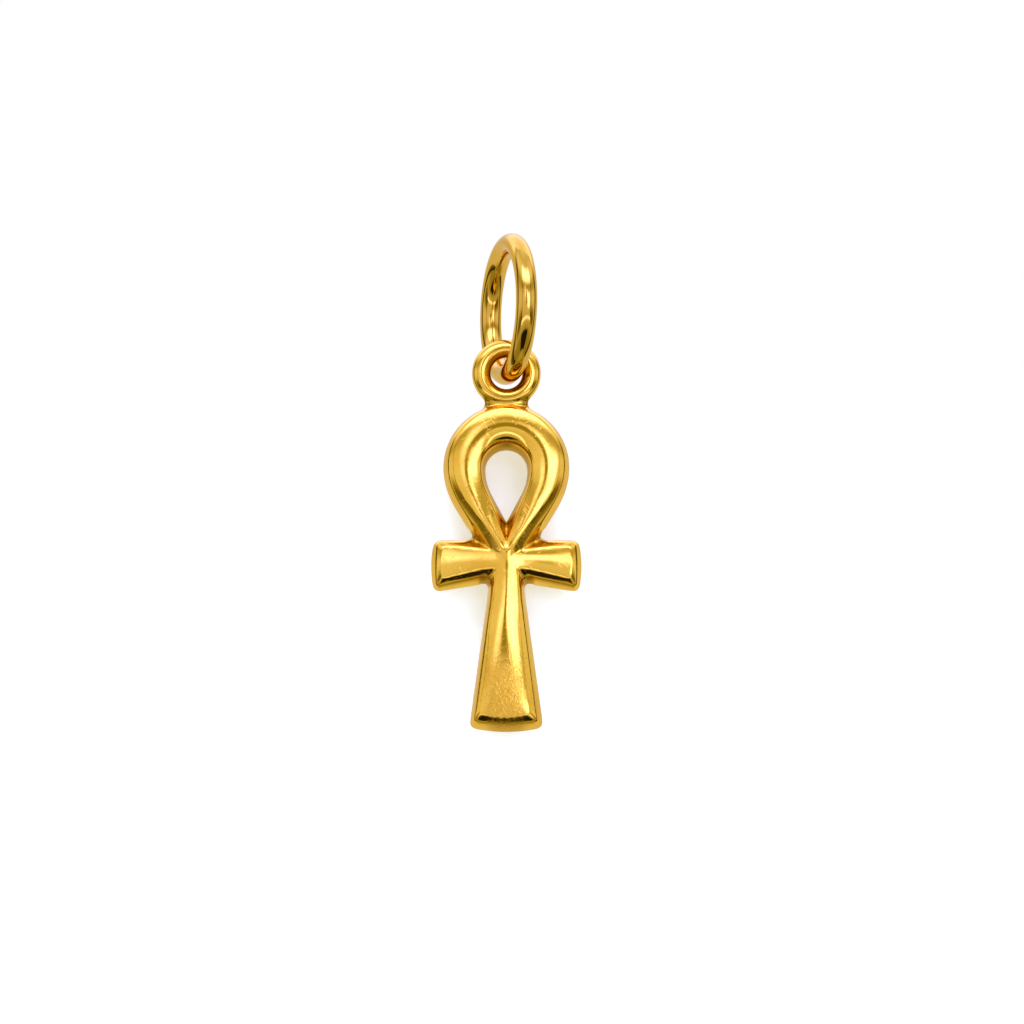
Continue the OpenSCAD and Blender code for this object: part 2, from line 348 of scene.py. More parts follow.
def bar_ring(share, h, inset=0.0):
    """Outline of the crossbar at a share of its rims' width, at a height."""
    end = BAR_HALF - share * BAR_END_RIM - inset
    corner = max(BAR_CORNER * (1 - share), PANEL_CORNER)
    run = end - corner
    spots = []
    # Along the top and down the right end, then back along the bottom and up the left end
    for side, edge, other in ((1, 0, 1), (-1, 1, 0)):
        inward = -side
        for place in [-t for t in reversed(BAR_PLACES[1:])] + list(BAR_PLACES):
            x = place * run * side
            spots.append((x, bar_edges(x, share)[edge] + inward * inset))
        z0 = bar_edges(end, share)[edge] + inward * inset
        z1 = bar_edges(end, share)[other] - inward * inset
        for turn in CORNER_TURNS:
            a = math.radians(turn)
            spots.append((side * (run + corner * math.sin(a)), z0 + inward * corner * (1 - math.cos(a))))
        for k in range(END_POINTS):
            t = k / (END_POINTS - 1)
            bow = BAR_BOW * (1 - (2 * t - 1) ** 2)
            spots.append((side * (end + bow), mix(z0 + inward * corner, z1 - inward * corner, t)))
        for turn in reversed(CORNER_TURNS):
            a = math.radians(turn)
            spots.append((side * (run + corner * math.sin(a)), z1 - inward * corner * (1 - math.cos(a))))
    return [Vector((x, -h, z)) for x, z in spots]


def limb_rings(outline, lift_at, lean_at):
    """Rings of a plate-like limb, from its back over its wall and rim to the crisp edge.
    lift_at says how much higher than EDGE_H the face is at a point, and lean_at is 1 where the rim is
    one slope."""
    rings = [outline(0, h, inset) for inset, h in reversed(BACK)]
    for share, h in RIM:
        ring = []
        for p in outline(share, h):
            height = mix(h, share * EDGE_H, lean_at(p)) + min(1, share / RIM_LIFT) * lift_at(p)
            ring.append(Vector((p.x, -height, p.z)))
        rings.append(ring)
    return rings


# How far in towards the spine the rings on a crossbar's or upright's face lie
SPINE_SHARES = (0.12, 0.32, 0.56, 0.78, 0.93)


def face_rings(crisp, spine, lift_at):
    """Rings from the crisp edge in towards the limb's spine, on the crowned face."""
    rings = []
    for share in SPINE_SHARES:
        ring = []
        for p in crisp:
            spot = p.lerp(spine(p), share)
            ring.append(Vector((spot.x, -EDGE_H - lift_at(spot), spot.z)))
        rings.append(ring)
    return rings


def crossbar():
    """The crossbar, wider at its ends."""
    reach = BAR_HALF - BAR_END_RIM - BAR_SPINE_END

    def lift_at(p):
        top, bottom = bar_edges(p.x, 1)
        out = abs(p.x) / BAR_HALF
        u = min(1, abs(p.z - (top + bottom) / 2) / ((top - bottom) / 2))
        lift = BAR_RISE * max(0, 1 - out) ** BAR_RISE_POWER - BAR_SAG * out
        return along(BAR_CROWN, out) * (1 - u * u) + lift

    def lean_at(p):
        return along(BAR_LEAN, abs(p.x) / BAR_HALF) if p.z > 0 else 0

    def spine(p):
        x = max(-reach, min(reach, p.x))
        return Vector((x, p.y, sum(bar_edges(x, 1)) / 2))

    rings = limb_rings(bar_ring, lift_at, lean_at)
    crisp = len(rings) - 1
    count = 2 * len(BAR_PLACES) - 1
    total = 2 * (count - 1) + 2 * len(CORNER_TURNS) + END_POINTS + 1
    return loft("crossbar", rings + face_rings(rings[crisp], spine, lift_at), [(crisp, None)], (count, total))


# Upright's half width at depths below the hub, and its rims
UPRIGHT_HALVES = [[-0.9, 0.46], [-0.4, 0.58], [0.2, 0.78], [0.6, 0.85], [1.52, 0.87], [8.0, 1.76]]
#               depth left right
UPRIGHT_RIMS = [[-0.9, 0.34, 0.34], [0, 0.33, 0.33], [0.6, 0.33, 0.30], [1.5, 0.30, 0.28], [2.9, 0.27, 0.42],
                [7.5, 0.39, 0.57]]
# Its crown by depth
UPRIGHT_CROWN = [[-0.9, 0.05], [-0.4, 0.06], [0.2, 0.09], [0.8, 0.12], [3, 0.14], [5, 0.15], [6.3, 0.14],
                 [7.0, 0.09], [7.3, 0.04], [7.5, 0]]
# How much higher its whole face is at the hub
UPRIGHT_LIFT = [[-0.9, 0.09], [0.1, 0.09], [0.9, 0.0]]
# How flat its crown is across: 1 is a ridge, 2 is round, 4 is flat with round edges
UPRIGHT_FLATNESS = [[1, 1.4], [2.4, 1.5], [3.4, 2.2], [4.4, 3.0], [6.5, 4.0]]
# Rim at its foot, and the radius of its corners there
FOOT_RIM = 0.55
FOOT_CORNER = 0.41
# Its top end above the hub, how much lower its face starts, and the steps down each side
UPRIGHT_TOP = 0.80
UPRIGHT_TOP_SLOPE = 0.30
UPRIGHT_POINTS = 16


def upright_edges(depth, share):
    """Left and right edge of the upright at a depth, in from its outline by a share of its rims."""
    half = along(UPRIGHT_HALVES, depth)
    left, right = (along(column(UPRIGHT_RIMS, i), depth) for i in (1, 2))
    return share * left - half, half - share * right


def upright_ring(share, h, inset=0.0):
    """Outline of the upright at a share of its rims' width, at a height."""
    low = FOOT_Z - share * FOOT_RIM - inset
    corner = max(FOOT_CORNER * (1 - share), PANEL_CORNER)
    right_side = []
    left_side = []
    for k in range(UPRIGHT_POINTS + 1):
        depth = mix(share * UPRIGHT_TOP_SLOPE - UPRIGHT_TOP, low - corner, k / UPRIGHT_POINTS)
        left, right = upright_edges(depth, share)
        right_side.append((right - inset, -depth))
        left_side.append((left + inset, -depth))
    left, right = upright_edges(low, share)
    left += inset + corner
    right -= inset + corner
    for turn in reversed(CORNER_TURNS):
        a = math.radians(turn)
        z = -low + corner * (1 - math.cos(a))
        right_side.append((right + corner * math.sin(a), z))
        left_side.append((left - corner * math.sin(a), z))
    foot = []
    for k in range(END_POINTS + 1):
        t = k / END_POINTS
        foot.append((mix(right, left, t), -low - FOOT_BOW * (1 - (2 * t - 1) ** 2)))
    return [Vector((x, -h, z)) for x, z in right_side + foot + left_side[::-1]]


def upright():
    """The upright, wider at its foot."""
    reach = FOOT_Z - FOOT_RIM - UPRIGHT_SPINE_END

    def lift_at(p):
        left, right = upright_edges(-p.z, 1)
        u = min(1, abs(p.x - (left + right) / 2) / ((right - left) / 2))
        crown = along(UPRIGHT_CROWN, -p.z) * (1 - u ** along(UPRIGHT_FLATNESS, -p.z))
        return crown + along(UPRIGHT_LIFT, -p.z)

    def spine(p):
        depth = min(reach, -p.z)
        return Vector((sum(upright_edges(depth, 1)) / 2, p.y, -depth))

    rings = limb_rings(upright_ring, lift_at, lambda p: 0)
    crisp = len(rings) - 1
    strips = (UPRIGHT_POINTS + 1 + len(CORNER_TURNS), len(rings[0]) - 1)
    return loft("upright", rings + face_rings(rings[crisp], spine, lift_at), [(crisp, None)], strips)


# Faces round the eye
EYE_SEGMENTS = 96


def eye():
    """The eye's round tube."""
    bpy.ops.object.select_all(action="DESELECT")
    bpy.ops.mesh.primitive_torus_add(
        major_radius=EYE_RING_D / 2, minor_radius=EYE_TUBE_D / 2, major_segments=EYE_SEGMENTS,
        minor_segments=TUBE_SEGMENTS, rotation=(math.pi / 2, 0, 0), location=(0, 0, EYE_ABOVE_HUB))
    return bpy.context.object


# Neck from the eye down to the loop: height above the hub, half width, half depth
NECK = [[8.0, 1.28, 0.30], [7.8, 1.18, 0.32], [7.62, 1.08, 0.34], [7.48, 1.04, 0.35],
        [7.35, 1.05, 0.36], [7.2, 1.08, 0.37], [7.05, 1.12, 0.38], [6.8, 1.15, 0.40]]
NECK_POINTS = 24
# Power of its oval section: below 1 is squarer than an oval
NECK_POWER = 0.8


def neck():
    """The filled neck between the eye and the loop, hollow on each side."""
    rings = []
    for z, half, depth in NECK:
        ring = []
        for k in range(NECK_POINTS):
            a = 2 * math.pi * k / NECK_POINTS
            c, s = math.cos(a), math.sin(a)
            ring.append(Vector((half * abs(c) ** NECK_POWER * math.copysign(1, c),
                                depth * abs(s) ** NECK_POWER * math.copysign(1, s), z)))
        rings.append(ring)
    return loft("neck", rings)


# Corners between the limbs that are smoothed right through, at these depths from the middle plane
#                   x     z above the hub, radius, repeat
SMOOTH_CORNERS = ((1.76, 1.04, 0.5, 90),
                  (0.88, -1.12, 0.42, 70),
                  (1.16, 7.3, 0.32, 60))
CORE_DEPTHS = (-0.3, -0.1, 0.1, 0.3, 0.5)
# Where the hub's face is buffed smooth: x, z above the hub
HUB_SPOTS = ((0, 0.55), (0, 0.25), (0, -0.05), (0, -0.4), (-0.35, -0.05), (0.35, -0.05), (0.7, -0.1),
             (-0.7, -0.1))
HUB_DEPTH, HUB_RADIUS, HUB_REPEAT = -0.75, 0.28, 14
# Floor of the groove under the teardrop's tip: z above the hub, height towards the front
GROOVE_FLOOR = ((1.6, 0.0), (1.45, 0.05), (1.3, 0.1), (1.15, 0.16), (1.0, 0.24), (0.88, 0.34))
GROOVE_RADIUS, GROOVE_REPEAT = 0.14, 16

# Reach of the painted shade round its spots: along the teardrop, in the groove, and in the corners [x, z]
RECESS_REACH = 0.42
HOLE_TURNS, HOLE_TURN_STEP = 13, 10
HOLE_RUN_SPOTS, HOLE_RUN_STEP = 9, 0.25
GROOVE_SPOTS = (1.75, 1.5, 1.25, 1.0)
RECESS_CORNERS = ((1.6, 0.98), (1.3, 0.85), (0.95, -1.0), (0.9, 7.42), (0.5, 7.42), (0.0, 7.42))
# It fades out this far below the front edge and before the back, and over these lengths. Near a spot it
# is full over part of its reach
RECESS_FRONT, RECESS_BACK = 0.1, 0.1
FRONT_FADE, BACK_FADE, SPOT_FADE = 0.3, 0.2, 0.625
# In the eye it starts a share of the tube's width inside the tube's middle line, and grows over a length
EYE_START, EYE_FADE = 0.15, 0.15


def ramp_up(value, length):
    """0 up to 0, then rising evenly to 1 at length."""
    return min(1, max(0, value / length))


def shade_spots():
    """Places [x, z] that the painted shade spreads from."""
    edge = [hole_point(min(90 + HOLE_ANGLE, HOLE_TURN_STEP * k)) for k in range(HOLE_TURNS)]
    for k in range(1, HOLE_RUN_SPOTS + 1):
        edge.append(hole_point(90 + HOLE_ANGLE) + run_way(HOLE_ANGLE) * HOLE_RUN_STEP * k)
    spots = [(side * x, z) for side in (-1, 1) for x, z in edge + list(RECESS_CORNERS)]
    return spots + [(0, z) for z in GROOVE_SPOTS]


def paint_recess_shade(piece):
    """Point attribute of painted shade that is 1 deep in the teardrop, the eye, the groove and the corners
    between limbs.
    """
    spots = shade_spots()
    marks = piece.data.attributes.new("recess_shade", "FLOAT", "POINT")
    for point, mark in zip(piece.data.vertices, marks.data):
        x, y, z = point.co
        depth = min(ramp_up(y + EDGE_H - RECESS_FRONT, FRONT_FADE),
                    ramp_up(BACK_H - RECESS_BACK - y, BACK_FADE))
        near = 0
        if depth > 0:
            reach = min(math.hypot(x - spot_x, z - spot_z) for spot_x, spot_z in spots)
            near = 1 - (reach / RECESS_REACH) ** 2
        eye_r = math.hypot(x, z - EYE_ABOVE_HUB)
        inside = ramp_up(EYE_RING_D / 2 - EYE_TUBE_D * EYE_START - eye_r, EYE_FADE)
        mark.value = max(depth * ramp_up(near, SPOT_FADE), inside)


def to_metres(piece, name, place):
    """Moves a finished piece to its place, scales it to metres and names it."""
    bpy.ops.object.select_all(action="DESELECT")
    piece.select_set(True)
    bpy.context.view_layer.objects.active = piece
    bpy.ops.object.transform_apply(location=True, rotation=True, scale=True)
    bpy.ops.transform.translate(value=place)
    bpy.ops.object.transform_apply(location=True, rotation=True, scale=True)
    piece.scale = (MM, MM, MM)
    bpy.ops.object.transform_apply(location=True, rotation=True, scale=True)
    piece.name = name
    piece.data.name = name


# Fineness of the limbs and of the casting's skin, and rounds of smoothing all over it
LIMB_LEVELS = 3
SKIN_VOXEL = 0.055
SKIN_ROUNDS = 2


def ankh():
    """The whole casting: its limbs, eye and neck fused into one skin."""
    limbs = [loop_limb(), crossbar(), upright(), neck()]
    for limb in limbs:
        modify(limb, "SUBSURF", levels=LIMB_LEVELS, render_levels=LIMB_LEVELS)
    limbs.append(eye())
    bpy.ops.object.select_all(action="DESELECT")
    for limb in limbs:
        limb.select_set(True)
    bpy.context.view_layer.objects.active = limbs[0]
    bpy.ops.object.transform_apply(location=True, rotation=True, scale=True)
    bpy.ops.object.join()
    cast = bpy.context.object
    modify(cast, "REMESH", mode="VOXEL", voxel_size=SKIN_VOXEL, use_smooth_shade=True)
    modify(cast, "SMOOTH", factor=SMOOTHING, iterations=SKIN_ROUNDS)
    for side in (-1, 1):
        for x, z, radius, repeat in SMOOTH_CORNERS:
            soften(cast, [Vector((side * x, y, z)) for y in CORE_DEPTHS], radius, repeat)
    soften(cast, [Vector((x, HUB_DEPTH, z)) for x, z in HUB_SPOTS], HUB_RADIUS, HUB_REPEAT)
    soften(cast, [Vector((0, -h, z)) for z, h in GROOVE_FLOOR], GROOVE_RADIUS, GROOVE_REPEAT)
    # Painted shade deep in the teardrop, the eye, the groove and the corners, kept as a point attribute
    paint_recess_shade(cast)
    bpy.ops.object.shade_smooth()
    to_metres(cast, "ankh_cast", (CROSS_X, 0, EYE_Z - EYE_ABOVE_HUB))
    return cast


# The ring's faces round it, and its soldered seam near its top: its turn from the ring's right, its depth
RING_SEGMENTS = 256
SEAM_TURN = math.radians(101)
SEAM_DEPTH = 0.02


def jump_ring():
    """The ring of round wire."""
    bpy.ops.object.select_all(action="DESELECT")
    bpy.ops.mesh.primitive_torus_add(
        major_radius=RING_R, minor_radius=WIRE_D / 2, major_segments=RING_SEGMENTS,
        minor_segments=TUBE_SEGMENTS, rotation=(math.pi / 2, 0, RING_TURN - math.pi / 2), location=(0, 0, 0))
    ring = bpy.context.object
    bpy.ops.object.mode_set(mode="EDIT")
    bpy.ops.mesh.select_all(action="DESELECT")
    mesh = bmesh.from_edit_mesh(ring.data)
    step = math.radians(360 / RING_SEGMENTS)
    for point in mesh.verts:
        point.select = abs(math.atan2(point.co.y, point.co.x) - SEAM_TURN) < step / 2
    mesh.select_flush(True)
    bpy.ops.transform.shrink_fatten(value=-SEAM_DEPTH)
    bpy.ops.object.mode_set(mode="OBJECT")
    bpy.ops.object.shade_smooth()
    to_metres(ring, "ring_wire", (0, 0, EYE_Z + RING_R))
    return ring


def value_node(nodes, links, kind, inputs, operation=None):
    """A node with its first inputs linked or set, in order. Returns its first output."""
    node = nodes.new(kind)
    if operation:
        node.operation = operation
    for socket, value in zip(node.inputs, inputs):
        if isinstance(value, (int, float)):
            socket.default_value = value
        else:
            links.new(value, socket)
    return node.outputs[0]


def group(name, inputs, outputs):
    """A node group with named inputs (name, kind, value) and outputs (name, kind). Returns it, its nodes
    and links, its input node and its output node."""
    tree = bpy.data.node_groups.new(name, "ShaderNodeTree")
    for title, kind, value in inputs:
        socket = tree.interface.new_socket(title, in_out="INPUT", socket_type=kind)
        if value is not None:
            socket.default_value = value
    for title, kind in outputs:
        tree.interface.new_socket(title, in_out="OUTPUT", socket_type=kind)
    return tree, tree.nodes, tree.links, tree.nodes.new("NodeGroupInput"), tree.nodes.new("NodeGroupOutput")


def texture(nodes, links, kind, place, scale, **settings):
    """A texture node at a place, with its scale and other inputs set."""
    node = nodes.new(kind)
    links.new(place, node.inputs["Vector"])
    node.inputs["Scale"].default_value = scale
    for name, value in settings.items():
        node.inputs[name].default_value = value
    return node


def remap(nodes, links, value, low, high, to_low=0.0, to_high=1.0):
    """Maps a range to another one, softly."""
    node = nodes.new("ShaderNodeMapRange")
    node.interpolation_type = "SMOOTHSTEP"
    links.new(value, node.inputs["Value"])
    for name, number in (("From Min", low), ("From Max", high), ("To Min", to_low), ("To Max", to_high)):
        node.inputs[name].default_value = number
    return node.outputs["Result"]


def soft_share(nodes, links, value, middle, half, soft):
    """1 within half of the middle, falling softly to 0."""
    off = value_node(nodes, links, "ShaderNodeMath", (value, middle), "SUBTRACT")
    size = value_node(nodes, links, "ShaderNodeMath", (off,), "ABSOLUTE")
    node = nodes.new("ShaderNodeMapRange")
    node.interpolation_type = "SMOOTHSTEP"
    links.new(size, node.inputs["Value"])
    for name, number in (("From Min", half - soft), ("From Max", half + soft), ("To Min", 1), ("To Max", 0)):
        node.inputs[name].default_value = number
    return node.outputs["Result"]


# Scratches: cells for each millimetre, how many times thinner and shallower than a cell they are, the
# distances from a cell's middle where a scratch starts and is full, and the patches that hold them
SCRATCH_CELLS = 1.4
SCRATCH_THIN, SCRATCH_SHALLOW = 11.0, 1.5
SCRATCH_EDGE = (0.20, 0.10)
SCRATCH_PATCHES, SCRATCH_FROM_TO = 0.9, (0.44, 0.60)
# Pits: their cells and distances, and their patches, which with the amount start and fill them at these
PIT_CELLS = 4.6
PIT_EDGE = (0.17, 0.08)
PIT_PATCHES, PIT_FROM_TO = 0.7, (1.0, 1.12)
# Haze, grain and ripple: waves for each millimetre, where haze starts and is full, and the share that
# each finer layer of haze and grain keeps
HAZE_WAVES, HAZE_FROM_TO = 0.55, (0.40, 0.68)
GRAIN_WAVES = 7.0
RIPPLE_WAVES = 1.1
FINE_ROUGHNESS = 0.6


def scratch_group():
    """Fine straight scratches that lie along one direction, here and there. Places are in millimetres."""
    tree, nodes, links, source, result = group(
        "fine_scratches",
        [("Place", "NodeSocketVector", None), ("Angle", "NodeSocketFloat", 0.0),
         ("Length", "NodeSocketFloat", 1.0)],
        [("Scratches", "NodeSocketFloat")])
    turn = nodes.new("ShaderNodeVectorRotate")
    turn.rotation_type = "Y_AXIS"
    links.new(source.outputs["Place"], turn.inputs["Vector"])
    links.new(source.outputs["Angle"], turn.inputs["Angle"])
    sizes = nodes.new("ShaderNodeCombineXYZ")
    short = value_node(nodes, links, "ShaderNodeMath", (1.0, source.outputs["Length"]), "DIVIDE")
    links.new(short, sizes.inputs["X"])
    sizes.inputs["Y"].default_value = SCRATCH_SHALLOW
    sizes.inputs["Z"].default_value = SCRATCH_THIN
    stretched = value_node(nodes, links, "ShaderNodeVectorMath", (turn.outputs[0], sizes.outputs[0]),
                           "MULTIPLY")
    cells = texture(nodes, links, "ShaderNodeTexVoronoi", stretched, SCRATCH_CELLS, Randomness=1.0)
    line = remap(nodes, links, cells.outputs["Distance"], *SCRATCH_EDGE)
    patches = texture(nodes, links, "ShaderNodeTexNoise", source.outputs["Place"], SCRATCH_PATCHES,
                      Detail=2.0)
    here = remap(nodes, links, patches.outputs["Fac"], *SCRATCH_FROM_TO)
    scratches = value_node(nodes, links, "ShaderNodeMath", (line, here), "MULTIPLY")
    links.new(scratches, result.inputs["Scratches"])
    return tree


def pit_group():
    """Small casting pits in clusters. Places are in millimetres."""
    tree, nodes, links, source, result = group(
        "casting_pits", [("Place", "NodeSocketVector", None), ("Amount", "NodeSocketFloat", 0.5)],
        [("Pits", "NodeSocketFloat")])
    cells = texture(nodes, links, "ShaderNodeTexVoronoi", source.outputs["Place"], PIT_CELLS, Randomness=1.0)
    dot = remap(nodes, links, cells.outputs["Distance"], *PIT_EDGE)
    patches = texture(nodes, links, "ShaderNodeTexNoise", source.outputs["Place"], PIT_PATCHES, Detail=1.0)
    share = value_node(nodes, links, "ShaderNodeMath", (patches.outputs["Fac"], source.outputs["Amount"]),
                       "ADD")
    here = remap(nodes, links, share, *PIT_FROM_TO)
    links.new(value_node(nodes, links, "ShaderNodeMath", (dot, here), "MULTIPLY"), result.inputs["Pits"])
    return tree


def haze_group():
    """Worn haze in patches, and the fine grain and slow ripple that hand polishing leaves."""
    tree, nodes, links, source, result = group(
        "polish_haze", [("Place", "NodeSocketVector", None)],
        [("Haze", "NodeSocketFloat"), ("Grain", "NodeSocketFloat"), ("Ripple", "NodeSocketFloat")])
    place = source.outputs["Place"]
    patches = texture(nodes, links, "ShaderNodeTexNoise", place, HAZE_WAVES, Detail=5.0,
                      Roughness=FINE_ROUGHNESS)
    links.new(remap(nodes, links, patches.outputs["Fac"], *HAZE_FROM_TO), result.inputs["Haze"])
    grain = texture(nodes, links, "ShaderNodeTexNoise", place, GRAIN_WAVES, Detail=4.0,
                    Roughness=FINE_ROUGHNESS)
    links.new(grain.outputs["Fac"], result.inputs["Grain"])
    ripple = texture(nodes, links, "ShaderNodeTexNoise", place, RIPPLE_WAVES, Detail=1.0)
    links.new(ripple.outputs["Fac"], result.inputs["Ripple"])
    return tree


GROUPS = {"scratches": scratch_group(), "pits": pit_group(), "haze": haze_group()}


# Depths below the hub between which the upright grows worn and takes a painted shade on its foot, and the
# half width that the shade and worn grain cover softly
WEAR_DEPTHS = (3.6, 6.4)
PANEL_HALF, PANEL_SOFT = 0.85, 0.3
# Scratches lie two ways: angle from level, length
SCRATCHES_ACROSS = {"Angle": 0.45, "Length": 1.6}
SCRATCHES_STEEP = {"Angle": -0.95, "Length": 2.2}
# Colours: hazy gold as shares of the clear gold's red, green and blue, darker gold for the painted shade and
# the pits, and edges
HAZY_SHARES = (0.95, 0.89, 0.75)
DEEP_GOLD = (0.46, 0.235, 0.012, 1)
EDGE_TINT = (1.0, 0.9, 0.62, 1)
# How deep a pit is in colour, and how dark the painted shade on the middle of the foot's face is
PIT_DARKNESS, FOOT_SHADE = 0.8, 0.42
# Haze that the foot adds
FOOT_HAZE = 0.4
# Roughness of clear gold, and what a scratch and a deep colour add to it
CLEAR_ROUGH, SCRATCH_ROUGH, SHADE_ROUGH = 0.035, 0.12, 0.12
# Heights in the bump: ripple, the grain on clear gold, in haze and on the foot, then scratches and pits
RIPPLE_HEIGHT = 0.35
GRAIN_CLEAR, GRAIN_HAZE, GRAIN_WEAR = 0.05, 0.35, 2.6
SCRATCH_HEIGHT, PIT_HEIGHT = -0.2, -0.5


def gold(name, color, haze, pits, bump_depth):
    """Polished yellow gold with fine worn haze, grain, scratches and casting pits, and painted shade in its
    recesses and on the middle of the foot's face. haze is its added roughness, pits says how many there are,
    and bump_depth is in millimetres."""
    material = bpy.data.materials.new(name)
    material.use_nodes = True
    nodes, links = material.node_tree.nodes, material.node_tree.links
    shader = nodes["Principled BSDF"]
    shader.inputs["Metallic"].default_value = 1.0

    def math_node(operation, *inputs):
        return value_node(nodes, links, "ShaderNodeMath", inputs, operation)

    def grouped(kind, **inputs):
        node = nodes.new("ShaderNodeGroup")
        node.node_tree = GROUPS[kind]
        links.new(place, node.inputs["Place"])
        for title, value in inputs.items():
            node.inputs[title].default_value = value
        return node

    coordinates = nodes.new("ShaderNodeTexCoord")
    millimetres = nodes.new("ShaderNodeVectorMath")
    millimetres.operation = "SCALE"
    millimetres.inputs["Scale"].default_value = 1 / MM
    links.new(coordinates.outputs["Object"], millimetres.inputs[0])
    place = millimetres.outputs[0]
    worn = grouped("haze")
    parts = nodes.new("ShaderNodeSeparateXYZ")
    links.new(place, parts.inputs[0])
    hub_z = EYE_Z - EYE_ABOVE_HUB
    low = remap(nodes, links, parts.outputs["Z"], hub_z - WEAR_DEPTHS[0], hub_z - WEAR_DEPTHS[1])
    worn_haze = math_node("MINIMUM", math_node("MULTIPLY_ADD", low, FOOT_HAZE, worn.outputs["Haze"]), 1.0)
    across = grouped("scratches", **SCRATCHES_ACROSS)
    steep = grouped("scratches", **SCRATCHES_STEEP)
    dots = grouped("pits", Amount=pits)
    scratches = math_node("MAXIMUM", across.outputs[0], steep.outputs[0])
    # Painted shade from the casting's point attribute: dark deep in the teardrop, the eye, the groove and the
    # corners
    recess_shade = nodes.new("ShaderNodeAttribute")
    recess_shade.attribute_name = "recess_shade"

    tone = nodes.new("ShaderNodeMix")
    tone.data_type = "RGBA"
    tone.inputs["A"].default_value = (*color, 1)
    tone.inputs["B"].default_value = (*[part * share for part, share in zip(color, HAZY_SHARES)], 1)
    links.new(worn_haze, tone.inputs["Factor"])
    deep = nodes.new("ShaderNodeMix")
    deep.data_type = "RGBA"
    links.new(tone.outputs["Result"], deep.inputs["A"])
    deep.inputs["B"].default_value = DEEP_GOLD
    panel = soft_share(nodes, links, parts.outputs["X"], CROSS_X, PANEL_HALF, PANEL_SOFT)
    # The middle of the foot's face: worn grain in the bump, and painted shade in the colour
    wear_and_shade = math_node("MULTIPLY", low, panel)
    # Painted shade in the recesses and on the foot's face, with the real casting pits, darkens the colour
    # towards DEEP_GOLD and roughens it
    shade = math_node("MAXIMUM", recess_shade.outputs["Fac"], math_node("MULTIPLY", dots.outputs[0], PIT_DARKNESS))
    shade = math_node("MAXIMUM", shade, math_node("MULTIPLY", wear_and_shade, FOOT_SHADE))
    links.new(shade, deep.inputs["Factor"])
    links.new(deep.outputs["Result"], shader.inputs["Base Color"])
    shader.inputs["Specular Tint"].default_value = EDGE_TINT

    rough = math_node("MULTIPLY_ADD", worn_haze, haze, CLEAR_ROUGH)
    rough = math_node("MULTIPLY_ADD", scratches, SCRATCH_ROUGH, rough)
    rough = math_node("MULTIPLY_ADD", shade, SHADE_ROUGH, rough)
    links.new(rough, shader.inputs["Roughness"])

    height = math_node("MULTIPLY", worn.outputs["Ripple"], RIPPLE_HEIGHT)
    grain = math_node("MULTIPLY_ADD", worn_haze, GRAIN_HAZE, GRAIN_CLEAR)
    grain = math_node("MULTIPLY_ADD", wear_and_shade, GRAIN_WEAR, grain)
    height = math_node("MULTIPLY_ADD", worn.outputs["Grain"], grain, height)
    height = math_node("MULTIPLY_ADD", scratches, SCRATCH_HEIGHT, height)
    height = math_node("MULTIPLY_ADD", dots.outputs[0], PIT_HEIGHT, height)
    bump = nodes.new("ShaderNodeBump")
    bump.inputs["Strength"].default_value = 1.0
    bump.inputs["Distance"].default_value = bump_depth * MM
    links.new(height, bump.inputs["Height"])
    links.new(bump.outputs[0], shader.inputs["Normal"])
    return material


#         name         color                  haze  pits bump_depth
CAST = ("cast_gold", (0.87, 0.525, 0.052), 0.13, 0.5, 0.01)
WIRE = ("wire_gold", (0.72, 0.43, 0.048), 0.05, 0.1, 0.006)
for piece, metal, body, node in ((ankh(), CAST, "cross", "ankh"), (jump_ring(), WIRE, "ring", "jump_ring")):
    piece.data.materials.clear()
    piece.data.materials.append(gold(*metal))
    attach(piece, body)
    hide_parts(node)

# Studio card: how far behind the pendant it stands, its top below the eye's middle, and its fade there
CARD_Y = 1.8
CARD_SIZE = 50
CARD_TOP = -0.8
CARD_FADE = 3.5
CARD_COLOR, CARD_GLOW = (0.90, 0.965, 0.60, 1), (0.22, 0.22, 0.18, 1)
# Floor, far enough below to lie out of the picture. It is solid, so its fade lies above it, in metres
FLOOR_SIZE, FLOOR_Z, FLOOR_FADE = 1200, -120, (0, 1)
FLOOR_COLOR, FLOOR_GLOW = (0.90, 0.90, 0.76, 1), (0.04, 0.04, 0.04, 1)


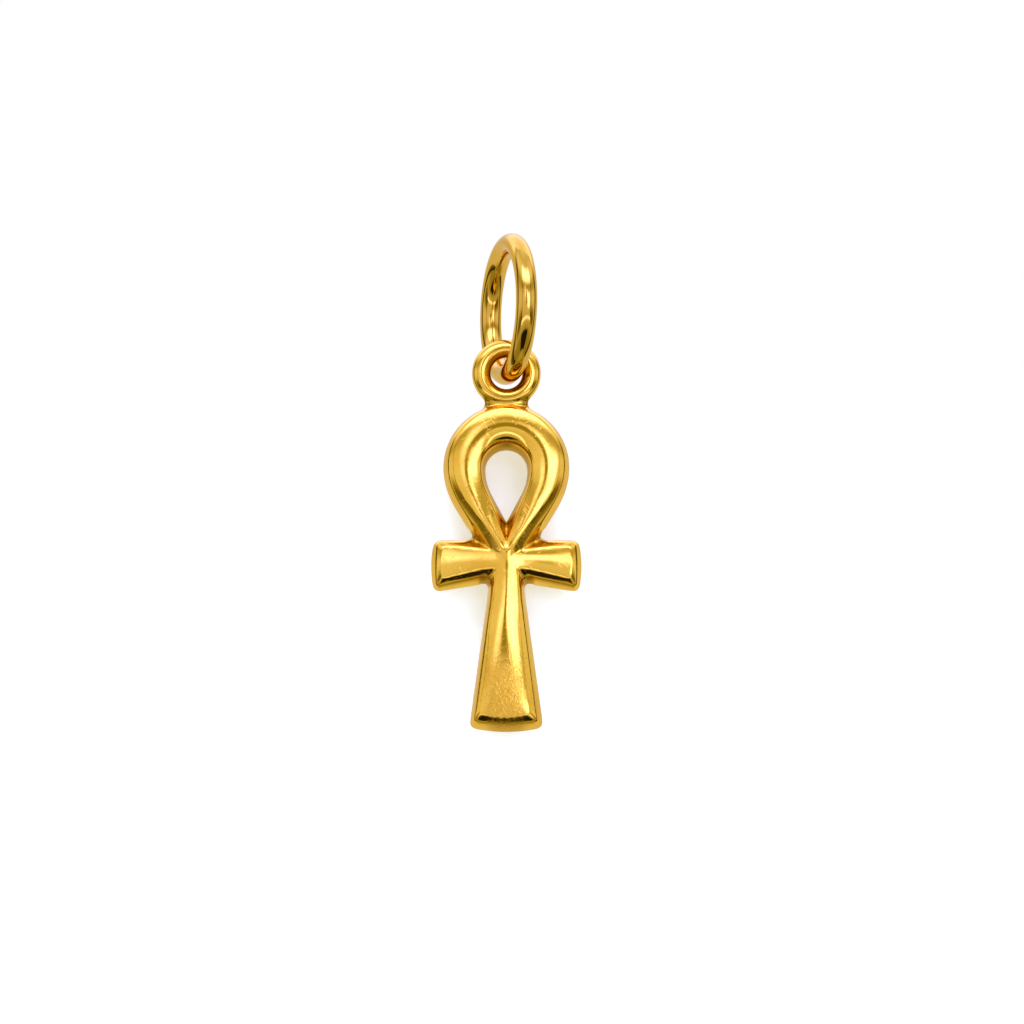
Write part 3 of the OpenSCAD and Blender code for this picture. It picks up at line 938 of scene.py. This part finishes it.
def plain_sheet(name, size, place, turn, color, glow, fade):
    """A plain flat sheet of the studio, seen from its front only and not mirrored in the gold. It is
    clear above the second height of fade, and solid below the first."""
    bpy.ops.object.select_all(action="DESELECT")
    bpy.ops.mesh.primitive_plane_add(size=size, location=place, rotation=(turn, 0, 0))
    sheet = bpy.context.object
    bpy.ops.object.transform_apply(location=True, rotation=True, scale=True)
    sheet.name = name
    sheet.visible_glossy = False
    material = bpy.data.materials.new(name)
    material.use_nodes = True
    nodes, links = material.node_tree.nodes, material.node_tree.links
    shader = nodes["Principled BSDF"]
    shader.inputs["Base Color"].default_value = color
    shader.inputs["Roughness"].default_value = 1.0
    shader.inputs["Specular IOR Level"].default_value = 0.0
    shader.inputs["Emission Color"].default_value = glow
    shader.inputs["Emission Strength"].default_value = 1.0
    coordinates = nodes.new("ShaderNodeTexCoord")
    parts = nodes.new("ShaderNodeSeparateXYZ")
    links.new(coordinates.outputs["Object"], parts.inputs[0])
    face = nodes.new("ShaderNodeNewGeometry")
    above = remap(nodes, links, parts.outputs["Z"], fade[0], fade[1])
    hidden = value_node(nodes, links, "ShaderNodeMath", (face.outputs["Backfacing"], above), "MAXIMUM")
    clear = nodes.new("ShaderNodeBsdfTransparent")
    either = nodes.new("ShaderNodeMixShader")
    links.new(hidden, either.inputs[0])
    links.new(shader.outputs[0], either.inputs[1])
    links.new(clear.outputs[0], either.inputs[2])
    links.new(either.outputs[0], nodes["Material Output"].inputs["Surface"])
    sheet.data.materials.append(material)


card_top = (EYE_Z + CARD_TOP) * MM
card_middle = (0, CARD_Y * MM, card_top - CARD_SIZE / 2 * MM)
plain_sheet("studio_card", CARD_SIZE * MM, card_middle, math.pi / 2, CARD_COLOR, CARD_GLOW,
            (card_top - CARD_FADE * MM, card_top))
plain_sheet("studio_floor", FLOOR_SIZE * MM, (0, 0, FLOOR_Z * MM), 0, FLOOR_COLOR, FLOOR_GLOW, FLOOR_FADE)

# Camera: from the front and a little below
PITCH = math.radians(9.2)
LENS = 336.2
CAMERA_X, CAMERA_Y, CAMERA_Z = 0.164, -442.69, -83.94
CLIP_NEAR, CLIP_FAR = 10, 10000
bpy.ops.object.camera_add(rotation=(math.pi / 2 + PITCH, 0, 0))
camera = bpy.context.object
camera.location = (CAMERA_X * MM, CAMERA_Y * MM, CAMERA_Z * MM)
camera.data.lens = LENS
camera.data.clip_start = CLIP_NEAR * MM
camera.data.clip_end = CLIP_FAR * MM
bpy.context.scene.camera = camera

# Light of the studio in front of the pendant at elevations from below to above, straight ahead
PROFILE = [[-90, 0.6], [-78, 0.55], [-70, 0.4], [-46, 0.4], [-39, 0.44], [-33, 0.58], [-26, 0.74],
           [-15, 0.8], [4, 0.96], [15, 0.92], [20, 0.66], [26, 0.62], [33, 0.94], [40, 1.2], [57, 1.0],
           [70, 0.9], [90, 1.2]]
# The same behind the pendant
BEHIND = [[-90, 0.5], [-72, 0.35], [-52, 0.84], [0, 0.86], [26, 0.9], [40, 1.7], [62, 1.5], [90, 1.2]]
# Soft boxes and dark screens as added light: azimuth to the right, elevation, half sizes, softness
#           azimuth elevation half width half height soft light
PATCHES = [[23, 4, 9, 10, 5, 2.8],
           [10, 13, 5, 5, 4, 1.7],
           [-13, 17, 6, 8, 5, 1.0],
           [1, 7, 6, 7, 3, -0.62],
           [0, 42, 44, 9, 7, 2.8],
           [0, -21, 50, 2, 3, 1.6],
           [0, -55, 38, 14, 5, -0.9],
           [66, -14, 20, 10, 8, -0.62],
           [-66, -14, 20, 10, 8, -0.62],
           [48, 5, 2, 24, 4, -0.6],
           [-46, 5, 2, 24, 4, -0.6],
           [104, 0, 8, 60, 4, -0.75],
           [-104, 0, 8, 60, 4, -0.75]]
# The brighter the light the cooler it is: blue and green by light, from their least to their most
#        slope start least most
BLUE = (2.0, -0.38, 0.30, 2.6)
GREEN = (0.16, 0.86, 0.90, 1.0)
# The front's light reaches this far round, softly. No direction is darker than DARKEST, and a colour
# ramp holds the light as a share of RAMP_TOP
FRONT_HALF, FRONT_SOFT = 98, 8
DARKEST = 0.02
RAMP_TOP = 4


def studio_world():
    """World light that depends on its direction only. The camera sees plain white."""
    world = bpy.data.worlds.new("studio")
    bpy.context.scene.world = world
    world.use_nodes = True
    nodes, links = world.node_tree.nodes, world.node_tree.links

    def math_node(operation, *inputs):
        return value_node(nodes, links, "ShaderNodeMath", inputs, operation)

    place = nodes.new("ShaderNodeTexCoord")
    parts = nodes.new("ShaderNodeSeparateXYZ")
    links.new(place.outputs["Generated"], parts.inputs[0])
    x, y, z = parts.outputs
    elevation = math_node("DEGREES", math_node("ARCSINE", z))
    azimuth = math_node("DEGREES", math_node("ARCTAN2", x, math_node("MULTIPLY", y, -1)))
    level = math_node("DIVIDE", math_node("ADD", elevation, 90), 180)
    surround = nodes.new("ShaderNodeMix")
    links.new(soft_share(nodes, links, azimuth, 0, FRONT_HALF, FRONT_SOFT), surround.inputs["Factor"])
    for table, socket in ((BEHIND, surround.inputs["A"]), (PROFILE, surround.inputs["B"])):
        ramp = nodes.new("ShaderNodeValToRGB")
        ramp.color_ramp.interpolation = "CARDINAL"
        links.new(level, ramp.inputs[0])
        points = ramp.color_ramp.elements
        # The ramp has a point at each end, and the others are added
        for degrees, light in table:
            point = {-90: points[0], 90: points[-1]}.get(degrees) or points.new((degrees + 90) / 180)
            point.color = (light / RAMP_TOP, light / RAMP_TOP, light / RAMP_TOP, 1)
        links.new(math_node("MULTIPLY", ramp.outputs[0], RAMP_TOP), socket)
    light = surround.outputs[0]
    for middle_a, middle_e, half_a, half_e, soft, gain in PATCHES:
        across = soft_share(nodes, links, azimuth, middle_a, half_a, soft)
        up = soft_share(nodes, links, elevation, middle_e, half_e, soft)
        light = math_node("ADD", light, math_node("MULTIPLY", math_node("MULTIPLY", across, up), gain))
    path = nodes.new("ShaderNodeLightPath")
    seen = nodes.new("ShaderNodeMix")
    links.new(path.outputs["Is Camera Ray"], seen.inputs["Factor"])
    links.new(math_node("MAXIMUM", light, DARKEST), seen.inputs["A"])
    seen.inputs["B"].default_value = 1.0
    tint = nodes.new("ShaderNodeCombineColor")
    tint.inputs["Red"].default_value = 1.0
    for title, (slope, start, least, most) in (("Green", GREEN), ("Blue", BLUE)):
        share = math_node("MULTIPLY_ADD", light, slope, start)
        links.new(math_node("MINIMUM", math_node("MAXIMUM", share, least), most), tint.inputs[title])
    shown = nodes.new("ShaderNodeMix")
    shown.data_type = "RGBA"
    links.new(path.outputs["Is Camera Ray"], shown.inputs["Factor"])
    links.new(tint.outputs[0], shown.inputs["A"])
    shown.inputs["B"].default_value = (1, 1, 1, 1)
    links.new(shown.outputs["Result"], nodes["Background"].inputs["Color"])
    links.new(seen.outputs[0], nodes["Background"].inputs["Strength"])


studio_world()
bpy.context.scene.view_settings.view_transform = "Standard"
